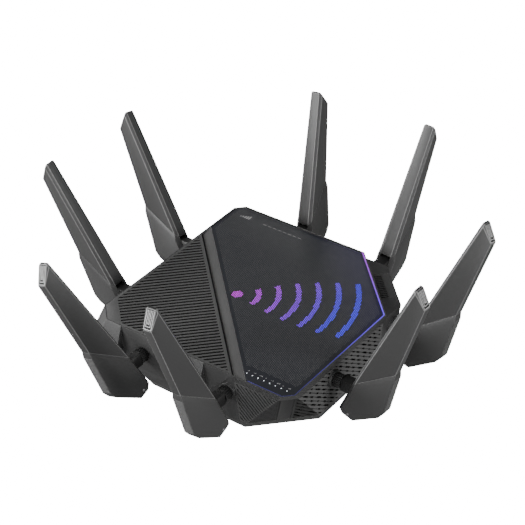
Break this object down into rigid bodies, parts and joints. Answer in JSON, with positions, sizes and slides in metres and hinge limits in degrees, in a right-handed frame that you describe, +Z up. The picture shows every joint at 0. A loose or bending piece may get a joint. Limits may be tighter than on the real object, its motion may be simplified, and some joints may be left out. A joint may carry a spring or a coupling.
{
  "type": "wireless router",
  "caption": "Desktop wireless router with a faceted case, a smoked light panel, a ribbed vent and folding antennas that swivel and tilt around its sides.",
  "frame": {"origin": "middle of the square case, on the plane that the feet stand on", "axes": "+Z up, -Y towards the corner edge with the status lights (front), +Y out of the sockets at the back, +X to the right"},
  "size_m": [0.4547, 0.4304, 0.1928],
  "materials": {
    "coal": "fine matte texture",
    "slate": "satin moulded plastic",
    "smoked": "smoked gloss plastic",
    "guide": "frosted light guide",
    "board": "solder mask",
    "led": "clear light chip",
    "metal": "milled aluminium",
    "shell": "plated steel",
    "brass": "turned brass",
    "rubber": "moulded rubber",
    "chip": "moulded chip package",
    "ribbed": "fine matte texture",
    "lead": "lead jacket"
  },
  "bodies": {
    "case": {"bottom_case": "slate", "top_cover": "slate", "ribbed_panel": "ribbed", "bevel_trim": "slate", "light_panel": "smoked", "light_guide": "guide", "led_board": "board", "led_matrix": "led", "status_leds": "led", "front_grille": "coal", "side_grille": "coal", "corner_strip": "coal", "corner_vent": "coal", "port_plate": "coal", "main_board": "board", "heat_sink": "metal", "shield_cans": "shell", "chips": "chip", "ethernet_jacks": "shell", "usb_ports": "shell", "dc_jack": "coal", "feet": "rubber", "case_screws": "shell", "board_pillars": "brass", "antenna_leads": "lead"},
    "power_switch": {"power_switch": "coal"},
    "reset_button": {"reset_button": "coal"},
    "pairing_button": {"pairing_button": "coal"},
    "swivel_front_right": {"knuckle_front_right": "coal"},
    "antenna_front_right": {"blade_front_right": "slate", "skirt_front_right": "slate"},
    "collar_front_right": {"collar_front_right": "coal"},
    "swivel_front_left": {"knuckle_front_left": "coal"},
    "antenna_front_left": {"blade_front_left": "slate", "skirt_front_left": "slate"},
    "collar_front_left": {"collar_front_left": "coal"},
    "swivel_right_back": {"knuckle_right_back": "coal"},
    "antenna_right_back": {"blade_right_back": "slate", "skirt_right_back": "slate"},
    "collar_right_back": {"collar_right_back": "coal"},
    "swivel_right_front": {"knuckle_right_front": "coal"},
    "antenna_right_front": {"blade_right_front": "slate", "skirt_right_front": "slate"},
    "collar_right_front": {"collar_right_front": "coal"},
    "swivel_back_left": {"knuckle_back_left": "coal"},
    "antenna_back_left": {"blade_back_left": "slate", "skirt_back_left": "slate"},
    "collar_back_left": {"collar_back_left": "coal"},
    "swivel_back_right": {"knuckle_back_right": "coal"},
    "antenna_back_right": {"blade_back_right": "slate", "skirt_back_right": "slate"},
    "collar_back_right": {"collar_back_right": "coal"},
    "swivel_left_front": {"knuckle_left_front": "coal"},
    "antenna_left_front": {"blade_left_front": "slate", "skirt_left_front": "slate"},
    "collar_left_front": {"collar_left_front": "coal"},
    "swivel_left_back": {"knuckle_left_back": "coal"},
    "antenna_left_back": {"blade_left_back": "slate", "skirt_left_back": "slate"},
    "collar_left_back": {"collar_left_back": "coal"}
  },
  "joints": [
    {"name": "power_rocker", "type": "hinge", "parent": "case", "child": "power_switch", "pos_m": [-0.0585, 0.1078, 0.025], "axis": [1, 0, 0], "range_deg": [-12, 0]},
    {"name": "reset_press", "type": "slide", "parent": "case", "child": "reset_button", "axis": [0, -1, 0], "range_m": [0, 0.001], "stiffness_N_per_m": 300},
    {"name": "pairing_press", "type": "slide", "parent": "case", "child": "pairing_button", "axis": [0, -1, 0], "range_m": [0, 0.001], "stiffness_N_per_m": 300},
    {"name": "swivel_front_right", "type": "hinge", "parent": "case", "child": "swivel_front_right", "pos_m": [0.0455, -0.12, 0.05], "axis": [0, 1, 0], "range_deg": [-8.4, 51.6]},
    {"name": "tilt_front_right", "type": "hinge", "parent": "swivel_front_right", "child": "antenna_front_right", "pos_m": [0.0455, -0.146, 0.05], "axis": [0.9934, 0, 0.1149], "range_deg": [-22.7, 17.3]},
    {"name": "collar_front_right", "type": "hinge", "parent": "case", "child": "collar_front_right", "pos_m": [0.0455, -0.12, 0.05], "axis": [0, -1, 0], "continuous": true},
    {"name": "swivel_front_left", "type": "hinge", "parent": "case", "child": "swivel_front_left", "pos_m": [-0.0575, -0.12, 0.05], "axis": [0, -1, 0], "range_deg": [-33.4, 26.6]},
    {"name": "tilt_front_left", "type": "hinge", "parent": "swivel_front_left", "child": "antenna_front_left", "pos_m": [-0.0575, -0.146, 0.05], "axis": [0.9489, 0, 0.3156], "range_deg": [-21.9, 18.1]},
    {"name": "collar_front_left", "type": "hinge", "parent": "case", "child": "collar_front_left", "pos_m": [-0.0575, -0.12, 0.05], "axis": [0, -1, 0], "continuous": true},
    {"name": "swivel_right_back", "type": "hinge", "parent": "case", "child": "swivel_right_back", "pos_m": [0.12, 0.0575, 0.05], "axis": [-1, 0, 0], "range_deg": [-27.6, 32.4]},
    {"name": "tilt_right_back", "type": "hinge", "parent": "swivel_right_back", "child": "antenna_right_back", "pos_m": [0.146, 0.0575, 0.05], "axis": [0, 0.9759, -0.2181], "range_deg": [-23.1, 16.9]},
    {"name": "collar_right_back", "type": "hinge", "parent": "case", "child": "collar_right_back", "pos_m": [0.12, 0.0575, 0.05], "axis": [1, 0, 0], "continuous": true},
    {"name": "swivel_right_front", "type": "hinge", "parent": "case", "child": "swivel_right_front", "pos_m": [0.12, -0.0455, 0.05], "axis": [1, 0, 0], "range_deg": [-12.1, 47.9]},
    {"name": "tilt_right_front", "type": "hinge", "parent": "swivel_right_front", "child": "antenna_right_front", "pos_m": [0.146, -0.0455, 0.05], "axis": [0, 0.9987, -0.0506], "range_deg": [-25.3, 14.7]},
    {"name": "collar_right_front", "type": "hinge", "parent": "case", "child": "collar_right_front", "pos_m": [0.12, -0.0455, 0.05], "axis": [1, 0, 0], "continuous": true},
    {"name": "swivel_back_left", "type": "hinge", "parent": "case", "child": "swivel_back_left", "pos_m": [-0.0515, 0.12, 0.05], "axis": [0, -1, 0], "range_deg": [-22.2, 37.8]},
    {"name": "tilt_back_left", "type": "hinge", "parent": "swivel_back_left", "child": "antenna_back_left", "pos_m": [-0.0515, 0.146, 0.05], "axis": [-0.9921, 0, -0.1253], "range_deg": [-20.3, 19.7]},
    {"name": "collar_back_left", "type": "hinge", "parent": "case", "child": "collar_back_left", "pos_m": [-0.0515, 0.12, 0.05], "axis": [0, 1, 0], "continuous": true},
    {"name": "swivel_back_right", "type": "hinge", "parent": "case", "child": "swivel_back_right", "pos_m": [0.0515, 0.12, 0.05], "axis": [0, 1, 0], "range_deg": [-18.9, 41.1]},
    {"name": "tilt_back_right", "type": "hinge", "parent": "swivel_back_right", "child": "antenna_back_right", "pos_m": [0.0515, 0.146, 0.05], "axis": [-0.9977, 0, 0.068], "range_deg": [-27.3, 12.7]},
    {"name": "collar_back_right", "type": "hinge", "parent": "case", "child": "collar_back_right", "pos_m": [0.0515, 0.12, 0.05], "axis": [0, 1, 0], "continuous": true},
    {"name": "swivel_left_front", "type": "hinge", "parent": "case", "child": "swivel_left_front", "pos_m": [-0.12, -0.0515, 0.05], "axis": [1, 0, 0], "range_deg": [-17.5, 42.5]},
    {"name": "tilt_left_front", "type": "hinge", "parent": "swivel_left_front", "child": "antenna_left_front", "pos_m": [-0.146, -0.0515, 0.05], "axis": [0, -0.999, -0.0436], "range_deg": [-32.4, 7.6]},
    {"name": "collar_left_front", "type": "hinge", "parent": "case", "child": "collar_left_front", "pos_m": [-0.12, -0.0515, 0.05], "axis": [-1, 0, 0], "continuous": true},
    {"name": "swivel_left_back", "type": "hinge", "parent": "case", "child": "swivel_left_back", "pos_m": [-0.12, 0.0515, 0.05], "axis": [-1, 0, 0], "range_deg": [-27.5, 32.5]},
    {"name": "tilt_left_back", "type": "hinge", "parent": "swivel_left_back", "child": "antenna_left_back", "pos_m": [-0.146, 0.0515, 0.05], "axis": [0, -0.9763, 0.2164], "range_deg": [-37, 3]},
    {"name": "collar_left_back", "type": "hinge", "parent": "case", "child": "collar_left_back", "pos_m": [-0.12, 0.0515, 0.05], "axis": [-1, 0, 0], "continuous": true}
  ]
}
